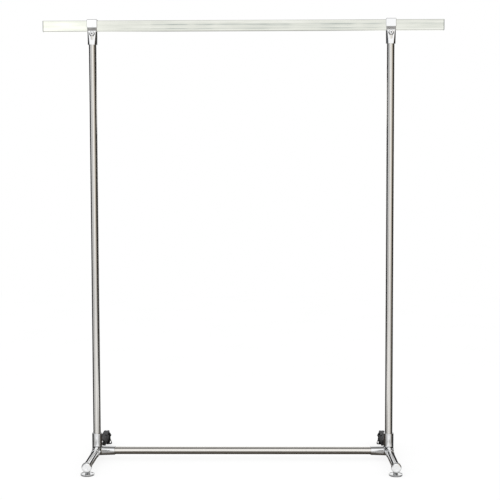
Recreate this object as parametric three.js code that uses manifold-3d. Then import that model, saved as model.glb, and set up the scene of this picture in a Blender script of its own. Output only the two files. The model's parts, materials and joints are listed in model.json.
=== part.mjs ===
// A free-standing clothes rack: one rectangular hanging rail on two round uprights, joined near the floor by a crossbar,
// with a front leg on a levelling foot and a rear leg on a braked castor at each side.
// Millimetres, +Z up, the front of the rack faces -Y. Origin on the floor, midway between the two uprights.
import * as THREE from "three";
import { mergeVertices } from "three/addons/utils/BufferGeometryUtils.js";
import Module from "manifold-3d";

// ---- driving dimensions ----
const RAIL_LENGTH = 1500, RAIL_HEIGHT = 40, RAIL_DEPTH = 20, RAIL_WALL = 1.2, RAIL_CORNER = 2;
const RAIL_BOTTOM = 1623; // underside of the rail above the floor
const RAIL_SHIFT = 6.5; // the rail is clamped this far to the right of the middle
const UPRIGHT_X = 558; // half the distance between the uprights
const TUBE_D = 28.6, TUBE_WALL = 1.2; // uprights, crossbar and legs
const BASE_Z = 33; // axis of the crossbar and of the legs
const GAP = 0.3; // clearance left between touching pieces
const FOOT_Y = -238, FOOT_R = 25.5, CAP_FACE_Y = -262, CAP_R = 18.5;
const FRONT_LEG_END = -249, REAR_LEG_END = 205;
const CASTOR_Y = 258, TRAIL = 12, WHEEL_R = 18.5, WHEEL_W = 15;
const CASTOR_TURN_LEFT = -69, CASTOR_TURN_RIGHT = -107; // degrees, which way each castor trails at rest
const SCREW_D = 6, SCREW_HEAD_R = 8.5, SCREW_Z = RAIL_BOTTOM - 8;
const BRACKET_W = 38.6, BRACKET_BOTTOM = RAIL_BOTTOM - 50, BRACKET_TOP = RAIL_BOTTOM + RAIL_HEIGHT + 4.5;

const wasm = await Module();
wasm.setup();

// ---- helpers: closed three.js geometry to solid and back ----
function solid(geometry) {
  const g = geometry.index ? geometry.toNonIndexed() : geometry;
  const bare = new THREE.BufferGeometry().setAttribute("position", g.getAttribute("position"));
  const m = mergeVertices(bare, 1e-4);
  const p = m.attributes.position.array, t = new Uint32Array(m.index.array);
  const keep = [];
  let volume = 0;
  for (let i = 0; i < t.length; i += 3) {
    const [a, b, c] = [t[i], t[i + 1], t[i + 2]];
    if (a === b || b === c || a === c) continue;
    keep.push(a, b, c);
    const [ax, ay, az] = [p[3 * a], p[3 * a + 1], p[3 * a + 2]];
    const [bx, by, bz] = [p[3 * b], p[3 * b + 1], p[3 * b + 2]];
    const [cx, cy, cz] = [p[3 * c], p[3 * c + 1], p[3 * c + 2]];
    volume += ax * (by * cz - bz * cy) - ay * (bx * cz - bz * cx) + az * (bx * cy - by * cx);
  }
  if (volume < 0) for (let i = 0; i < keep.length; i += 3) [keep[i + 1], keep[i + 2]] = [keep[i + 2], keep[i + 1]];
  return new wasm.Manifold(new wasm.Mesh({ numProp: 3, vertProperties: new Float32Array(p), triVerts: new Uint32Array(keep) }));
}
function geometryOf(s) {
  const m = s.getMesh(), n = m.numProp, v = new Float32Array(m.numVert * 3);
  for (let i = 0; i < m.numVert; i++) v.set(m.vertProperties.subarray(i * n, i * n + 3), i * 3);
  const g = new THREE.BufferGeometry().setAttribute("position", new THREE.BufferAttribute(v, 3));
  g.setIndex(new THREE.BufferAttribute(new Uint32Array(m.triVerts), 1));
  return g;
}
const join = (...list) => list.reduce((a, b) => a.add(b));
const cut = (a, ...list) => list.reduce((x, y) => x.subtract(y), a);

// A solid of revolution: profile [[r, h], ...], turned about the named axis, h running along +axis.
function turned(profile, axis = "z", seg = 16) {
  const g = new THREE.LatheGeometry(profile.map(([r, h]) => new THREE.Vector2(r, h)), seg);
  if (axis === "z") g.rotateX(Math.PI / 2);
  if (axis === "x") g.rotateZ(-Math.PI / 2);
  return solid(g);
}
// A plain rod between two stations along an axis, and a cone frustum.
const rod = (r, a, b, axis = "z", seg = 16) => turned([[0, a], [r, a], [r, b], [0, b]], axis, seg);
const frustum = (ra, a, rb, b, axis = "z", seg = 20) => turned([[0, a], [ra, a], [rb, b], [0, b]], axis, seg);
const pipe = (ro, ri, a, b, axis = "z", seg = 16) => turned([[ri, a], [ro, a], [ro, b], [ri, b], [ri, a]], axis, seg);
const at = (s, x, y, z) => s.translate([x, y, z]);
function block(x0, x1, y0, y1, z0, z1) {
  const g = new THREE.BoxGeometry(x1 - x0, y1 - y0, z1 - z0);
  g.translate((x0 + x1) / 2, (y0 + y1) / 2, (z0 + z1) / 2);
  return solid(g);
}
function roundedRect(w, h, r) {
  const s = new THREE.Shape(), x = w / 2, y = h / 2;
  s.moveTo(-x + r, -y).lineTo(x - r, -y).absarc(x - r, -y + r, r, -Math.PI / 2, 0, false);
  s.lineTo(x, y - r).absarc(x - r, y - r, r, 0, Math.PI / 2, false);
  s.lineTo(-x + r, y).absarc(-x + r, y - r, r, Math.PI / 2, Math.PI, false);
  s.lineTo(-x, -y + r).absarc(-x + r, -y + r, r, Math.PI, 1.5 * Math.PI, false);
  return s;
}
// Extrudes a shape drawn in (Y, Z) along X from x0 to x1.
function alongX(shape, x0, x1, curve = 5) {
  const g = new THREE.ExtrudeGeometry(shape, { depth: x1 - x0, bevelEnabled: false, curveSegments: curve });
  g.applyMatrix4(new THREE.Matrix4().makeBasis(new THREE.Vector3(0, 1, 0), new THREE.Vector3(0, 0, 1), new THREE.Vector3(1, 0, 0)));
  g.translate(x0, 0, 0);
  return solid(g);
}
// Extrudes a polygon drawn in (X, Z) along Y from y0 to y1.
function alongY(points, y0, y1) {
  const shape = points instanceof THREE.Shape ? points : new THREE.Shape(points.map(([x, z]) => new THREE.Vector2(x, z)));
  const g = new THREE.ExtrudeGeometry(shape, { depth: y1 - y0, bevelEnabled: false, curveSegments: 6 });
  g.rotateX(Math.PI / 2);
  g.translate(0, y1, 0);
  return solid(g);
}
// Extrudes a polygon drawn in (X, Y) along Z.
function alongZ(points, z0, z1) {
  const shape = points instanceof THREE.Shape ? points : new THREE.Shape(points.map(([x, y]) => new THREE.Vector2(x, y)));
  const g = new THREE.ExtrudeGeometry(shape, { depth: z1 - z0, bevelEnabled: false, curveSegments: 8 });
  g.translate(0, 0, z0);
  return solid(g);
}
const hexagon = (acrossFlats) =>
  [0, 1, 2, 3, 4, 5].map((i) => {
    const r = acrossFlats / Math.sqrt(3), a = (i * Math.PI) / 3;
    return [r * Math.cos(a), r * Math.sin(a)];
  });

// ---- materials ----
const mat = (color, roughness, metalness) => new THREE.MeshStandardMaterial({ color, roughness, metalness });
const MIRROR_STEEL = mat(0xe4e4de, 0.08, 1), SATIN_STEEL = mat(0xb9b6b0, 0.35, 1), CHROME = mat(0xd6d8da, 0.06, 1);
const BLACK_NYLON = mat(0x2a2a2c, 0.6, 0), TYRE = mat(0x161616, 0.75, 0), SOLE = mat(0x1c1c1d, 0.8, 0), ZINC = mat(0x9fa3a6, 0.35, 1);
const CLEAR_GREY = mat(0xc8cac6, 0.4, 0), FORK_BLACK = mat(0x1d1d1f, 0.45, 0.2);

const rack = new THREE.Group();
function add(parent, name, s, material) {
  const mesh = new THREE.Mesh(geometryOf(s), material);
  mesh.name = name;
  parent.add(mesh);
  return mesh;
}

// ---- hanging rail: rectangular tube with a moulded plug in each end ----
const RAIL_Z = RAIL_BOTTOM + RAIL_HEIGHT / 2;
const FLANGE = 2.7;
{
  const half = RAIL_LENGTH / 2 - FLANGE - GAP;
  const shape = roundedRect(RAIL_DEPTH, RAIL_HEIGHT, RAIL_CORNER);
  shape.holes.push(roundedRect(RAIL_DEPTH - 2 * RAIL_WALL, RAIL_HEIGHT - 2 * RAIL_WALL, RAIL_CORNER - RAIL_WALL));
  const rail = add(rack, "top_rail", alongX(shape, -half, half, 3), MIRROR_STEEL);
  rail.position.set(RAIL_SHIFT, 0, RAIL_Z);
  const w = RAIL_DEPTH - 2 * RAIL_WALL - 2 * GAP, h = RAIL_HEIGHT - 2 * RAIL_WALL - 2 * GAP;
  const tongue = roundedRect(w, h, 1.4);
  tongue.holes.push(roundedRect(w - 3.6, h - 3.6, 0.5));
  const plug = join(alongX(roundedRect(RAIL_DEPTH, RAIL_HEIGHT, RAIL_CORNER), -FLANGE, 0, 3), alongX(tongue, -FLANGE - 18, -FLANGE + 1, 2));
  for (const [name, s] of [["left", -1], ["right", 1]]) {
    const m = add(rack, "rail_end_plug_" + name, plug, CLEAR_GREY);
    m.position.set(RAIL_SHIFT + (s * RAIL_LENGTH) / 2, 0, RAIL_Z);
    if (s < 0) m.rotation.z = Math.PI;
  }
}

// ---- top bracket: a casting with a window for the rail and a tapered, flat-fronted socket for the upright ----
const BORE_R = TUBE_D / 2 + GAP, BRIDGE_BOTTOM = RAIL_BOTTOM - 17;
function railBracket() {
  const z = (v) => v; // heights are given above the floor
  const bw = BRACKET_W / 2;
  // upper block with a small bevel all round its top edge
  let block0 = block(-bw, bw, -15, 15, z(RAIL_BOTTOM + 14.5), z(BRACKET_TOP));
  for (const s of [-1, 1]) {
    const wedge = alongX(new THREE.Shape([new THREE.Vector2(s * 13, BRACKET_TOP), new THREE.Vector2(s * 16, BRACKET_TOP - 3), new THREE.Vector2(s * 16, BRACKET_TOP + 1), new THREE.Vector2(s * 13, BRACKET_TOP + 1)]), -30, 30, 1);
    block0 = cut(block0, wedge);
  }
  // neck: front and back lean in below the block
  const neck = alongX(new THREE.Shape([[-15, RAIL_BOTTOM + 14.5], [15, RAIL_BOTTOM + 14.5], [12.85, RAIL_BOTTOM + 1], [-12.85, RAIL_BOTTOM + 1]].map(([a, b]) => new THREE.Vector2(a, b))), -18, 18, 1);
  // tapered socket with a flat plane on the front and the back
  let socket = frustum(18, BRACKET_BOTTOM, 19, RAIL_BOTTOM + 1.2, "z", 20);
  for (const s of [-1, 1]) {
    const slab = alongX(new THREE.Shape([[s * 12.85, RAIL_BOTTOM + 2], [s * 15.95, BRACKET_BOTTOM - 1], [s * 30, BRACKET_BOTTOM - 1], [s * 30, RAIL_BOTTOM + 2]].map(([a, b]) => new THREE.Vector2(a, b))), -30, 30, 1);
    socket = cut(socket, slab);
  }
  let body = join(block0, neck, socket);
  const window_ = block(-40, 40, -RAIL_DEPTH / 2 - GAP, RAIL_DEPTH / 2 + GAP, RAIL_BOTTOM - GAP, RAIL_BOTTOM + RAIL_HEIGHT + GAP);
  const bore = rod(BORE_R, BRACKET_BOTTOM - 1, BRIDGE_BOTTOM, "z", 20);
  const slit = block(-40, 40, -0.75, 0.75, BRIDGE_BOTTOM - 1, RAIL_BOTTOM + 1); // lets the screw pinch the rail
  const hole = at(rod(SCREW_D / 2 + GAP, -30, 30, "y", 12), 0, 0, SCREW_Z);
  const seatFront = at(rod(SCREW_HEAD_R + GAP, -30, -12.2, "y", 16), 0, 0, SCREW_Z);
  const seatBack = at(rod(7.2, 12.2, 30, "y", 16), 0, 0, SCREW_Z);
  return cut(body, window_, bore, slit, hole, seatFront, seatBack);
}
// Pinch screw with a round head and a six-sided key socket; its nut sits at the back.
function pinchScrew() {
  const head = turned([[0, -18.6], [5.2, -18.6], [7.6, -18.0], [SCREW_HEAD_R, -16.6], [SCREW_HEAD_R, -12.5], [0, -12.5]], "y", 16);
  const key = alongY(hexagon(5).map(([a, b]) => [a, b]), -19, -15.4);
  return join(cut(head, key), rod(SCREW_D / 2, -13, 17.6, "y", 12));
}
const pinchNut = () => cut(alongY(hexagon(10), 12.5, 17), rod(SCREW_D / 2 + GAP, 10, 20, "y", 12));

// ---- base connector: core with sockets up, inwards, forwards and backwards ----
const UP_END = BASE_Z + 68.5, IN_END = 69, FRONT_END = 58, BACK_END = 69;
function baseConnector(inward) {
  const R = 18.75;
  const up = at(rod(R, 0, UP_END - BASE_Z, "z", 20), 0, 0, BASE_Z);
  const side = at(frustum(R, 0, 16.6, IN_END, "x", 20), 0, 0, BASE_Z);
  const sideward = inward > 0 ? side : at(frustum(16.6, -IN_END, R, 0, "x", 20), 0, 0, BASE_Z);
  const front = at(frustum(16.2, -FRONT_END, 17.6, 0, "y", 20), 0, 0, BASE_Z);
  const back = at(frustum(R, 0, 16.6, BACK_END, "y", 20), 0, 0, BASE_Z);
  const core = new THREE.SphereGeometry(19.4, 16, 10);
  core.rotateX(Math.PI / 2);
  core.translate(0, 0, BASE_Z);
  let body = join(up, sideward, front, back, solid(core));
  // long pointed flats: one on the front of the upright socket, one on the front of the inward socket
  const upFlat = alongX(new THREE.Shape([[-15.7, 51.5], [-19.2, 80], [-40, 80], [-40, 51.5]].map(([a, b]) => new THREE.Vector2(a, b))), -30, 30, 1);
  body = cut(body, upFlat);
  const sideFlat = alongZ([[inward * 19, -15.6], [inward * 60, -17.0], [inward * 60, -40], [inward * 19, -40]], BASE_Z - 30, BASE_Z + 11.5);
  body = cut(body, sideFlat);
  const bores = [
    at(rod(BORE_R, 18, 95, "z", 20), 0, 0, BASE_Z),
    at(inward > 0 ? rod(BORE_R, 18, 90, "x", 20) : rod(BORE_R, -90, -18, "x", 20), 0, 0, BASE_Z),
    at(rod(BORE_R, -90, -18, "y", 20), 0, 0, BASE_Z),
    at(rod(BORE_R, 18, 90, "y", 20), 0, 0, BASE_Z),
  ];
  const screwHoles = [
    at(rod(3.3, 10, 30, "y", 8), 0, 0, BASE_Z + 48),
    at(rod(3.3, -30, -10, "z", 8), inward * 48, 0, BASE_Z),
    at(rod(3.3, -30, -10, "z", 8), 0, -42, BASE_Z),
    at(rod(3.3, -30, -10, "z", 8), 0, 48, BASE_Z),
  ];
  return cut(body, ...bores, ...screwHoles);
}
// Set screw with a six-sided key socket in its outer end, lying along +Z from 0.
function setScrew(length) {
  return cut(rod(3, 0, length, "z", 8), alongZ(hexagon(3), length - 2, length + 1));
}

// ---- castor pieces, in the castor's own frame: X towards the trailing side, Y along the axle, Z up ----
const AXLE_Z = WHEEL_R, CHEEK_IN = 8.8, CHEEK_OUT = 10.8;
const PEDAL_X = 26, PEDAL_Z = 37.5;
function castorFork() {
  const cheek = [[-11.5, 43.6], [20, 43.6], [29, 41.6], [30.5, 37.5], [28, 33.6], [21, 30], [17.5, 15.5], [12, 13], [6.5, 15.5], [0, 30], [-11, 37]];
  let s = join(alongY(cheek, CHEEK_IN, CHEEK_OUT), alongY(cheek, -CHEEK_OUT, -CHEEK_IN));
  s = join(s, block(-12, 19, -CHEEK_OUT, CHEEK_OUT, 39.6, 43.6), rod(12.5, 39.6, 43.6, "z", 16));
  return cut(s, rod(3.3, 30, 50, "z", 12), at(rod(3.3, -20, 20, "y", 12), TRAIL, 0, AXLE_Z), at(rod(2.3, -20, 20, "y", 8), PEDAL_X, 0, PEDAL_Z));
}
const castorRace = () => pipe(11.5, 3.4, 43.9, 46.5, "z", 16);
const castorRivet = () => join(rod(3, 39, 51, "z", 12), rod(5.5, 38, 39.3, "z", 16), turned([[0, 50.7], [6, 50.7], [5.6, 51.3], [3.5, 51.8], [0, 52]], "z", 16));
const castorAxle = () => at(join(rod(3, -12.4, 12.4, "y", 12), rod(4.6, -12.6, -11.1, "y", 12), rod(4.6, 11.1, 12.6, "y", 12)), TRAIL, 0, AXLE_Z);
const castorHub = () => at(turned([[3.3, -8.4], [6, -8.4], [6, -7], [13.4, -6.6], [13.4, 6.6], [6, 7], [6, 8.4], [3.3, 8.4], [3.3, -8.4]], "y", 16), TRAIL, 0, AXLE_Z);
const castorTyre = () => at(turned([[13.75, -6.6], [16.8, -7.5], [18.5, -4.6], [18.5, 4.6], [16.8, 7.5], [13.75, 6.6], [13.75, -6.6]], "y", 20), TRAIL, 0, AXLE_Z);
const pedalPin = () => at(join(rod(2, -12, 12, "y", 8), rod(3.2, -12.2, -11.1, "y", 8), rod(3.2, 11.1, 12.2, "y", 8)), PEDAL_X, 0, PEDAL_Z);
function brakePedal() {
  const barrel = at(rod(4.2, -8.2, 8.2, "y", 12), PEDAL_X, 0, PEDAL_Z);
  const lever = alongY([[26, 33.6], [34.4, 20.2], [37.6, 18.8], [37.9, 21], [30.1, 37]], -7, 7);
  // the foot loop: a ring-shaped tab hanging from the lever, open in the middle
  const tab = alongY([[34.4, 21], [36.9, 3], [40, 3.4], [37.8, 21]], -12.5, 12.5);
  const hole = alongY([[30, 6.6], [45, 8.2], [45, 17.2], [30, 15.6]], -8.6, 8.6);
  let loop = cut(tab, hole);
  // rounded outline for the tab, seen from behind
  const outline = new THREE.Shape();
  outline.moveTo(-7.5, 0).lineTo(7.5, 0).quadraticCurveTo(12.5, 0, 12.5, 6).lineTo(7.5, 22).lineTo(-7.5, 22).lineTo(-12.5, 6).quadraticCurveTo(-12.5, 0, -7.5, 0);
  loop = loop.intersect(alongX(outline, 20, 60, 4).translate([0, 0, 2.6]));
  return cut(join(barrel, lever, loop), at(rod(2.3, -20, 20, "y", 8), PEDAL_X, 0, PEDAL_Z));
}
function castorMount() {
  const sleeve = at(rod(16.5, 108, 214, "y", 20), 0, 0, BASE_Z);
  const collar = at(rod(17.6, 108, 114, "y", 20), 0, 0, BASE_Z);
  const arm = new THREE.Shape();
  arm.moveTo(-11, 186).lineTo(11, 186).lineTo(11, CASTOR_Y).absarc(0, CASTOR_Y, 11, 0, Math.PI, false).lineTo(-11, 186);
  const gusset = alongX(new THREE.Shape([[206, 46.9], [224, 46.9], [213, 38], [206, 38]].map(([a, b]) => new THREE.Vector2(a, b))), -6, 6, 1);
  const s = join(sleeve, collar, alongZ(arm, 46.8, 50.4), gusset);
  return cut(s, at(rod(BORE_R, 100, 210, "y", 20), 0, 0, BASE_Z), at(rod(3.4, 40, 60, "z", 12), 0, CASTOR_Y, 0));
}

// ---- levelling foot and leg end ----
const endCap = () => at(join(turned([[0, CAP_FACE_Y], [11, CAP_FACE_Y], [15.5, CAP_FACE_Y + 0.8], [CAP_R, CAP_FACE_Y + 3.2], [CAP_R, FRONT_LEG_END - 2.2], [CAP_R - 1.6, FRONT_LEG_END - GAP], [0, FRONT_LEG_END - GAP]], "y", 20), rod(12.6, FRONT_LEG_END - 1, FRONT_LEG_END + 4.4, "y", 12)), 0, 0, BASE_Z);
const frontLeg = () => cut(at(pipe(TUBE_D / 2, TUBE_D / 2 - TUBE_WALL, FRONT_LEG_END, -20, "y", 20), 0, 0, BASE_Z), at(rod(4.5, 5, 30, "z", 12), 0, FOOT_Y, 0));
const footBush = () => at(pipe(5.5, 4.3, 21.6, 34, "z", 12), 0, FOOT_Y, 0);
const lockNut = () => at(cut(alongZ(hexagon(13), 14.5, 18.4), rod(4.3, 10, 20, "z", 12)), 0, FOOT_Y, 0);
const footStem = () => at(turned([[0, 7.6], [4, 7.6], [4, 39.5], [3.2, 40.3], [0, 40.3]], "z", 12), 0, FOOT_Y, 0);
const footPad = () => at(turned([[0, 2.8], [24.6, 2.8], [FOOT_R, 3.6], [FOOT_R, 5.6], [24.8, 6.4], [10, 11.2], [8.6, 11.7], [4.3, 11.7], [4.3, 7.3], [0, 7.3]], "z", 20), 0, FOOT_Y, 0);
const footSole = () => at(turned([[0, 0], [22.5, 0], [24.3, 1], [24.3, 2.5], [0, 2.5]], "z", 20), 0, FOOT_Y, 0);

// ---- crossbar ----
add(rack, "crossbar", pipe(TUBE_D / 2, TUBE_D / 2 - TUBE_WALL, -(UPRIGHT_X - 20), UPRIGHT_X - 20, "x", 20), SATIN_STEEL).position.z = BASE_Z;

// ---- both sides ----
for (const [name, s] of [["left", -1], ["right", 1]]) {
  const side = new THREE.Group();
  side.position.x = s * UPRIGHT_X;
  rack.add(side);
  add(side, "upright_" + name, pipe(TUBE_D / 2, TUBE_D / 2 - TUBE_WALL, BASE_Z + 20, BRIDGE_BOTTOM - GAP, "z", 20), SATIN_STEEL);
  add(side, "rail_bracket_" + name, railBracket(), CHROME);
  add(side, "pinch_screw_" + name, pinchScrew(), CHROME).position.z = SCREW_Z;
  add(side, "pinch_nut_" + name, pinchNut(), ZINC).position.z = SCREW_Z;
  add(side, "base_connector_" + name, baseConnector(-s), CHROME);
  const su = add(side, "upright_set_screw_" + name, setScrew(3.6), ZINC);
  su.rotation.x = -Math.PI / 2;
  su.position.set(0, TUBE_D / 2 + GAP, BASE_Z + 48);
  for (const [what, x, y] of [["crossbar", -s * 48, 0], ["front_leg", 0, -42], ["rear_leg", 0, 48]]) {
    const m = add(side, what + "_set_screw_" + name, setScrew(what === "front_leg" ? 2.4 : 2.8), ZINC);
    m.rotation.x = Math.PI;
    m.position.set(x, y, BASE_Z - TUBE_D / 2 - GAP);
  }
  add(side, "front_leg_" + name, frontLeg(), CHROME);
  add(side, "front_leg_cap_" + name, endCap(), CHROME);
  add(side, "foot_bush_" + name, footBush(), ZINC);
  add(side, "foot_lock_nut_" + name, lockNut(), ZINC);
  add(side, "foot_stem_" + name, footStem(), ZINC);
  add(side, "foot_pad_" + name, footPad(), CHROME);
  add(side, "foot_sole_" + name, footSole(), SOLE);
  add(side, "rear_leg_" + name, at(pipe(TUBE_D / 2, TUBE_D / 2 - TUBE_WALL, 20, REAR_LEG_END, "y", 20), 0, 0, BASE_Z), CHROME);
  add(side, "castor_mount_" + name, castorMount(), BLACK_NYLON);
  const castor = new THREE.Group();
  castor.position.y = CASTOR_Y;
  castor.rotation.z = THREE.MathUtils.degToRad(s < 0 ? CASTOR_TURN_LEFT : CASTOR_TURN_RIGHT);
  side.add(castor);
  add(castor, "castor_race_" + name, castorRace(), ZINC);
  add(castor, "castor_rivet_" + name, castorRivet(), ZINC);
  add(castor, "castor_fork_" + name, castorFork(), FORK_BLACK);
  add(castor, "castor_axle_" + name, castorAxle(), ZINC);
  add(castor, "castor_hub_" + name, castorHub(), BLACK_NYLON);
  add(castor, "castor_tyre_" + name, castorTyre(), TYRE);
  add(castor, "brake_pin_" + name, pedalPin(), ZINC);
  add(castor, "brake_pedal_" + name, brakePedal(), BLACK_NYLON);
}

export default rack;
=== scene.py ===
import json
import math

import bmesh
import bpy
import numpy as np
from mathutils import Matrix, Vector


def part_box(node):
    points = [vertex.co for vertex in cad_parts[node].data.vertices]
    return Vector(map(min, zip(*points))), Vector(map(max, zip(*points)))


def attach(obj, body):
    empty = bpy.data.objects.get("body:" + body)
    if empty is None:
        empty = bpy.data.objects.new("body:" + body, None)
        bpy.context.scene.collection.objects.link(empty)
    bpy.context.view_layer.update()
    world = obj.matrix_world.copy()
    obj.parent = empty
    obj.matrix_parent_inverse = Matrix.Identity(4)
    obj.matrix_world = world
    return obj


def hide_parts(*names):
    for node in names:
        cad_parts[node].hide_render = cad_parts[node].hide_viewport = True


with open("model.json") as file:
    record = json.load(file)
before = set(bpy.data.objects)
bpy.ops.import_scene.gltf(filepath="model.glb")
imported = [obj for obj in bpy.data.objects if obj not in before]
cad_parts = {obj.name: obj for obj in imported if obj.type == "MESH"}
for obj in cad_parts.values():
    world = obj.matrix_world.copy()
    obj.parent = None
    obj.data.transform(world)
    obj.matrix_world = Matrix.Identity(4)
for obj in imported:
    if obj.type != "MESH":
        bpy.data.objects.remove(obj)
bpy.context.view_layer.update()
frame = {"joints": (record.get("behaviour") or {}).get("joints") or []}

# Looks for a free-standing clothes rack: finely turned and blended metal parts, built in code in millimetres around the
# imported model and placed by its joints. +Z up, the front of the rack faces -Y.
MM = 0.001
scene = bpy.context.scene
joints = {j["name"]: j for j in frame["joints"]}

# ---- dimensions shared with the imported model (mm) ----
lo_u, hi_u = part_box("upright_right")
UX = round(1000 * (lo_u.x + hi_u.x) / 2, 2)
TUBE_R, TUBE_WALL, BASE_Z, BORE_R = 14.3, 1.2, 33.0, 14.6
RAIL_LO, RAIL_HI = (1000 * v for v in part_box("top_rail"))
RAIL_BOTTOM = 1623.0
SCREW_Z = RAIL_BOTTOM - 8
FOOT_Y, CASTOR_Y, TRAIL, AXLE_Z = -238.0, 258.0, 12.0, 18.5
SIDES = (("left", -1), ("right", 1))


# ================================================================ mesh code
def soften(points, radius=0.3, steps=3, closed=False):
    """Rounds the corners of a profile [(r, h) or (r, h, corner radius)]. Points on the axis stay as they are."""
    n, out = len(points), []
    for i, p in enumerate(points):
        rad = p[2] if len(p) > 2 else radius
        c = np.array(p[:2], float)
        if (not closed and i in (0, n - 1)) or rad <= 0 or c[0] == 0:
            out.append(tuple(c))
            continue
        a, b = np.array(points[i - 1][:2], float), np.array(points[(i + 1) % n][:2], float)
        la, lb = np.linalg.norm(a - c), np.linalg.norm(b - c)
        if la < 1e-6 or lb < 1e-6:
            out.append(tuple(c))
            continue
        ua, ub = (a - c) / la, (b - c) / lb
        turn = math.pi - math.acos(max(-1, min(1, float(ua @ ub))))
        if turn < 0.12:
            out.append(tuple(c))
            continue
        d = min(rad * math.tan(turn / 2), 0.46 * la, 0.46 * lb)
        p0, p1 = c + ua * d, c + ub * d
        for k in range(steps + 1):
            t = k / steps
            q = (1 - t) ** 2 * p0 + 2 * t * (1 - t) * c + t * t * p1
            out.append(tuple(q))
    return out


def revolve(profile, seg=96, closed=False):
    """A solid of revolution about +Z. Each profile point is (r, h); r may be a function of the angle."""
    verts, rows = [], []
    ang = [2 * math.pi * k / seg for k in range(seg)]
    for r, h in profile:
        if not callable(r) and r <= 1e-9:
            rows.append([len(verts)])
            verts.append((0.0, 0.0, h))
        else:
            rows.append(list(range(len(verts), len(verts) + seg)))
            for a in ang:
                q = r(a) if callable(r) else r
                verts.append((q * math.cos(a), q * math.sin(a), h))
    faces = []
    pairs = list(zip(rows, rows[1:])) + ([(rows[-1], rows[0])] if closed else [])
    for a, b in pairs:
        if len(a) == 1 and len(b) == 1:
            continue
        for k in range(seg):
            m = (k + 1) % seg
            if len(a) == 1:
                faces.append((a[0], b[m], b[k]))
            elif len(b) == 1:
                faces.append((a[k], a[m], b[0]))
            else:
                faces.append((a[k], a[m], b[m], b[k]))
    return np.array(verts, float), faces


def hexagon(across, cap=None):
    """Radius of a hexagon at an angle, cut down to cap where it is larger."""
    def r(a):
        k = (a + math.pi / 6) % (math.pi / 3) - math.pi / 6
        q = across / 2 / math.cos(k)
        return q if cap is None else min(q, cap)
    return r


def smin(a, b, k):
    h = np.clip(0.5 + 0.5 * (b - a) / k, 0, 1)
    return b * (1 - h) + a * h - k * h * (1 - h)


def smax(a, b, k):
    return -smin(-a, -b, k)


def nets(fn, lo, hi, h, steps=6):
    """The surface where fn = 0, as quads whose corners are moved exactly onto it."""
    lo = np.array(lo, float) - 1.37 * h
    n = np.ceil((np.array(hi, float) + 1.4 * h - lo) / h).astype(int) + 1
    ax = [lo[i] + h * np.arange(n[i]) for i in range(3)]
    f = fn(*np.meshgrid(*ax, indexing="ij"))
    s = f < 0
    c = n - 1
    count = np.zeros(tuple(c), np.int8)
    for i in (0, 1):
        for j in (0, 1):
            for k in (0, 1):
                count += s[i:i + c[0], j:j + c[1], k:k + c[2]]
    active = (count > 0) & (count < 8)
    cells = np.argwhere(active)
    idx = np.full(tuple(c), -1, np.int64)
    idx[active] = np.arange(len(cells))
    acc, weight = np.zeros((len(cells), 3)), np.zeros(len(cells))
    for axis in range(3):
        e = np.eye(3, dtype=int)[axis]
        others = [i for i in range(3) if i != axis]
        for i in (0, 1):
            for j in (0, 1):
                o = np.zeros(3, int)
                o[others[0]], o[others[1]] = i, j
                p = cells + o
                q = p + e
                a, b = f[p[:, 0], p[:, 1], p[:, 2]], f[q[:, 0], q[:, 1], q[:, 2]]
                hit = (a < 0) != (b < 0)
                t = np.where(hit, a / np.where(hit, a - b, 1), 0)
                acc += (p + t[:, None] * e) * hit[:, None]
                weight += hit
    v = lo + h * acc / weight[:, None]
    eps = 0.02

    def grad(v):
        x, y, z = v.T
        return np.stack([fn(x + eps, y, z) - fn(x - eps, y, z), fn(x, y + eps, z) - fn(x, y - eps, z),
                         fn(x, y, z + eps) - fn(x, y, z - eps)], 1) / (2 * eps)

    for _ in range(steps):
        g = grad(v)
        d = g * (fn(*v.T) / np.maximum((g * g).sum(1), 0.05))[:, None]
        size = np.linalg.norm(d, axis=1)
        v = v - d * np.minimum(1, 0.35 * h / np.maximum(size, 1e-9))[:, None]
    faces = []
    for axis in range(3):
        u, w = [(1, 2), (2, 0), (0, 1)][axis]
        sl = [slice(None)] * 3
        sl2 = [slice(None)] * 3
        sl[axis], sl2[axis] = slice(0, n[axis] - 1), slice(1, n[axis])
        for k in (u, w):
            sl[k] = sl2[k] = slice(1, n[k] - 1)
        a, b = s[tuple(sl)], s[tuple(sl2)]
        for change, order in ((a & ~b, (0, 1, 2, 3)), (~a & b, (3, 2, 1, 0))):
            e = np.argwhere(change)
            e[:, u] += 1
            e[:, w] += 1
            quad = []
            for du, dw in ((-1, -1), (0, -1), (0, 0), (-1, 0)):
                q = e.copy()
                q[:, u] += du
                q[:, w] += dw
                quad.append(idx[q[:, 0], q[:, 1], q[:, 2]])
            faces.append(np.stack([quad[k] for k in order], 1))
    return v, np.concatenate(faces)


def poly_sdf(x, z, pts):
    """Signed distance to a polygon."""
    pts = np.array(pts, float)
    d = np.full(np.shape(x), 1e9)
    inside = np.zeros(np.shape(x), bool)
    for i in range(len(pts)):
        a, b = pts[i - 1], pts[i]
        e = b - a
        wx, wz = x - a[0], z - a[1]
        t = np.clip((wx * e[0] + wz * e[1]) / (e @ e), 0, 1)
        d = np.minimum(d, (wx - t * e[0]) ** 2 + (wz - t * e[1]) ** 2)
        cross = ((a[1] > z) != (b[1] > z)) & (x < (b[0] - a[0]) * (z - a[1]) / (b[1] - a[1] + 1e-12) + a[0])
        inside ^= cross
    return np.where(inside, -1, 1) * np.sqrt(d)


def span(v, a, b):
    return np.maximum(a - v, v - b)


def cone(rad, h, r0, h0, r1, h1):
    k = (r1 - r0) / (h1 - h0)
    return (rad - (r0 + k * (h - h0))) / math.sqrt(1 + k * k)


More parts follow.
